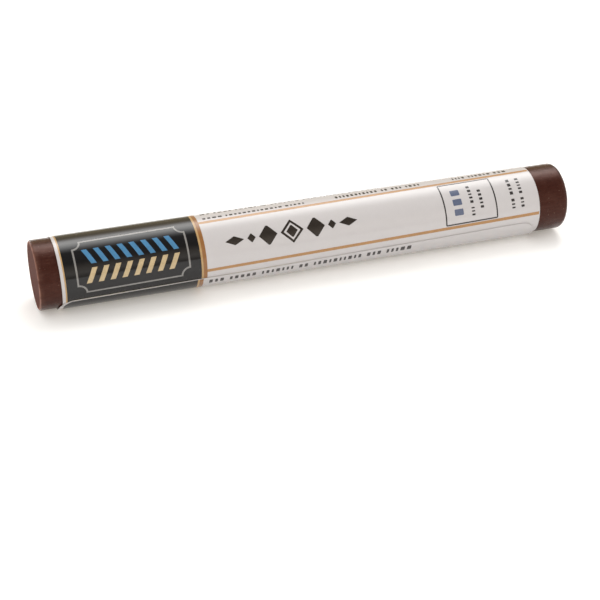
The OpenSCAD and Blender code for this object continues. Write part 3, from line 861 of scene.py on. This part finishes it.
# Rod turned round its axis, its rims knocked and its ends a little uneven
def waxRod():
    mesh = bmesh.new()
    segments = rodMesh["segments"]
    radius = stick["radius"]
    length = stick["rightEnd"] - stick["leftEnd"]
    # The profile as [place along the rod, radius, rounding of the nearer rim]
    profile = []
    for rim, start, way in ((stick["leftRim"], 0.0, 1), (stick["rightRim"], length, -1)):
        half = [(0.0, (radius - rim) * share) for share in rodMesh["faceRings"]]
        half += [(rim - rim * math.cos(math.radians(a)),
                  radius - rim + rim * math.sin(math.radians(a)))
                 for a in range(0, 91, rodMesh["rimStep"])]
        half += [(rodMesh["sideFrom"] + rodMesh["sideStep"] * i, radius)
                 for i in range(rodMesh["sideRings"])]
        profile += [(start + way * along, r, rim) for along, r in half][::way]
    verts = []
    # Paleness of each point for the shader: rim wear, and a painted highlight along the rim
    rimWear = []
    for along, r, rim in profile:
        ring = []
        for i in range(segments):
            turn = 2 * math.pi * i / segments
            x, worn, pale = wornPoint(along, r, rim, turn)
            rimWear.append(pale)
            ring.append(mesh.verts.new((
                stick["leftEnd"] + x, -worn * math.sin(turn),
                stick["axisHeight"] + worn * math.cos(turn))))
        verts.append(ring)
    for lower, upper in zip(verts, verts[1:]):
        for i in range(segments):
            j = (i + 1) % segments
            mesh.faces.new((lower[i], lower[j], upper[j], upper[i]))
    for ring in (verts[0], verts[-1]):
        middle = sum((v.co for v in ring), Vector()) / segments
        centre = mesh.verts.new(middle)
        rimWear.append(0.0)
        for i in range(segments):
            mesh.faces.new((ring[i - 1], ring[i], centre))
    bmesh.ops.recalc_face_normals(mesh, faces=mesh.faces)
    data = bpy.data.meshes.new("wax_rod")
    mesh.to_mesh(data)
    mesh.free()
    data.shade_smooth()
    data.attributes.new("rim_wear_and_highlight", "FLOAT", "POINT").data.foreach_set("value", rimWear)
    rod = bpy.data.objects.new("wax_rod", data)
    bpy.context.scene.collection.objects.link(rod)
    return rod


rod = waxRod()
rod.data.materials.append(hardWax(
    "hard_wax", waxLook["colour"], waxLook["roughness"], waxLook["shine"]))
# The end faces take a paler copy of the wax: painted sheen
rod.data.materials.append(hardWax(
    "hard_wax_cast_end", waxLook["endColourWithPaintedSheen"], waxLook["endRoughness"], waxLook["endShine"]))
for face in rod.data.polygons:
    face.material_index = int(abs(face.normal.x) > 0.9)
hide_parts("wax_stick")
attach(rod, "root")
print("turned", rod.name, len(rod.data.polygons), "faces")

# Studio

studio = {
    "azimuth": -18.311, "elevation": 30.335, "distance": 286.92 * mm,
    "targetX": -1.27 * mm, "targetDrop": 14.16 * mm,
    "lens": 90.095, "sensor": 36, "clipStart": 10 * mm,
    "floorRadius": 3.0, "floorSides": 96, "floorColour": "#F3F3F3",
    # What the floor adds for the camera and in reflections, so that it shows as white paper
    "floorGlow": (0.24, 0.22, 0.19, 1),
    # Even light from both sides, that fades from the camera's side to behind the stick
    "sideFront": 1.4, "sideBack": 0.8,
    # Where the stripe of the arc below fades in and out, to the right of the camera's side
    "stripeIn": (0.0, 0.09), "stripeOut": (0.44, 0.54),
    # Radiance seen over the top of the stick, by the angle from the horizon behind it to the one
    # in front: a warm wall, a softbox that fades upwards, a dark ceiling, a dim window
    "scale": 8.0,
    "arc": [(0, 0.55, 0.45, 0.28), (30, 0.62, 0.5, 0.3), (36, 1.1, 0.95, 0.75),
            (42, 2.3, 2.2, 2.1), (50, 5.2, 5.1, 5.0), (59, 6.6, 6.5, 6.4), (68, 5.6, 5.6, 5.5),
            (77, 3.5, 3.5, 3.5), (86, 1.3, 1.3, 1.3), (95, 0.08, 0.08, 0.08),
            (132, 0.08, 0.07, 0.06), (148, 0.7, 0.6, 0.5), (164, 1.1, 1.0, 0.9),
            (176, 0.4, 0.35, 0.3)],
}


def makeFloor():
    mesh = bmesh.new()
    bmesh.ops.create_circle(
        mesh, cap_ends=True, radius=studio["floorRadius"], segments=studio["floorSides"])
    data = bpy.data.meshes.new("floor")
    mesh.to_mesh(data)
    mesh.free()
    floor = bpy.data.objects.new("floor", data)
    bpy.context.scene.collection.objects.link(floor)
    material, tree = newMaterial("white_paper_sweep")
    paper = addNode(tree, "ShaderNodeBsdfDiffuse", {"Color": srgb(studio["floorColour"])})
    rays = addNode(tree, "ShaderNodeLightPath").outputs
    seen = addNode(tree, "ShaderNodeMath", {
        0: rays["Is Camera Ray"], 1: rays["Is Glossy Ray"]}, operation="ADD")
    seen = addNode(tree, "ShaderNodeMath", {
        0: seen.outputs[0], 1: rays["Is Transmission Ray"]}, operation="ADD", use_clamp=True)
    glow = addNode(tree, "ShaderNodeEmission", {
        "Color": studio["floorGlow"], "Strength": seen.outputs[0]})
    both = addNode(tree, "ShaderNodeAddShader")
    tree.links.new(paper.outputs["BSDF"], both.inputs[0])
    tree.links.new(glow.outputs["Emission"], both.inputs[1])
    addNode(tree, "ShaderNodeOutputMaterial", {"Surface": both.outputs["Shader"]})
    data.materials.append(material)


def makeWorld():
    world = bpy.data.worlds.new("studio")
    bpy.context.scene.world = world
    world.use_nodes = True
    tree = world.node_tree
    tree.nodes.clear()
    way = addNode(tree, "ShaderNodeTexCoord").outputs["Generated"]
    part = addNode(tree, "ShaderNodeSeparateXYZ", {"Vector": way}).outputs
    angle = addNode(tree, "ShaderNodeMath", {0: part["Z"], 1: part["Y"]}, operation="ARCTAN2")
    share = addNode(tree, "ShaderNodeMath", {0: angle.outputs[0], 1: math.pi}, operation="DIVIDE")
    arc = addNode(tree, "ShaderNodeValToRGB", {"Fac": share.outputs[0]})
    ramp = arc.color_ramp
    while len(ramp.elements) < len(studio["arc"]):
        ramp.elements.new(1.0)
    for element, (place, *colour) in zip(ramp.elements, studio["arc"]):
        element.position = place / 180
        element.color = [c / studio["scale"] for c in colour] + [1]
    # The arc lights a stripe; beyond it the light is even
    (inFrom, inTo), (outFrom, outTo) = studio["stripeIn"], studio["stripeOut"]
    fromLeft = addNode(tree, "ShaderNodeMapRange", {
        "Value": part["X"], "From Min": inFrom, "From Max": inTo},
        interpolation_type="SMOOTHSTEP")
    toRight = addNode(tree, "ShaderNodeMapRange", {
        "Value": part["X"], "From Min": outFrom, "From Max": outTo, "To Min": 1.0,
        "To Max": 0.0}, interpolation_type="SMOOTHSTEP")
    inArc = addNode(tree, "ShaderNodeMath", {
        0: fromLeft.outputs["Result"], 1: toRight.outputs["Result"]}, operation="MULTIPLY")
    front, back = (studio[name] / studio["scale"] for name in ("sideFront", "sideBack"))
    sides = addNode(tree, "ShaderNodeMapRange", {
        "Value": part["Y"], "From Min": -1.0, "From Max": 1.0, "To Min": front, "To Max": back})
    colour = addNode(tree, "ShaderNodeMix", {
        0: inArc.outputs[0], 6: sides.outputs["Result"], 7: arc.outputs["Color"]},
        data_type="RGBA")
    light = addNode(tree, "ShaderNodeBackground", {
        "Color": colour.outputs[2], "Strength": studio["scale"]})
    # Past the floor's edge the backdrop is plain white
    backdrop = addNode(tree, "ShaderNodeBackground", {"Color": (1, 1, 1, 1), "Strength": 1.0})
    rays = addNode(tree, "ShaderNodeLightPath").outputs
    seen = addNode(tree, "ShaderNodeMath", {
        0: rays["Is Camera Ray"], 1: rays["Is Transmission Ray"]}, operation="ADD", use_clamp=True)
    shown = addNode(tree, "ShaderNodeMixShader", {
        0: seen.outputs[0], 1: light.outputs["Background"], 2: backdrop.outputs["Background"]})
    addNode(tree, "ShaderNodeOutputWorld", {"Surface": shown.outputs["Shader"]})


def makeCamera():
    camera = bpy.data.cameras.new("camera")
    camera.lens = studio["lens"]
    camera.sensor_width = studio["sensor"]
    camera.clip_start = studio["clipStart"]
    item = bpy.data.objects.new("camera", camera)
    bpy.context.scene.collection.objects.link(item)
    azimuth, elevation = math.radians(studio["azimuth"]), math.radians(studio["elevation"])
    back = Vector((math.sin(azimuth) * math.cos(elevation),
                   -math.cos(azimuth) * math.cos(elevation), math.sin(elevation)))
    target = Vector((studio["targetX"], 0, stick["axisHeight"] - studio["targetDrop"]))
    item.location = target + back * studio["distance"]
    item.rotation_mode = "QUATERNION"
    item.rotation_quaternion = back.to_track_quat("Z", "Y")
    bpy.context.scene.camera = item


makeFloor()
makeWorld()
makeCamera()
bpy.context.scene.view_settings.view_transform = "Standard"
print("studio ready")
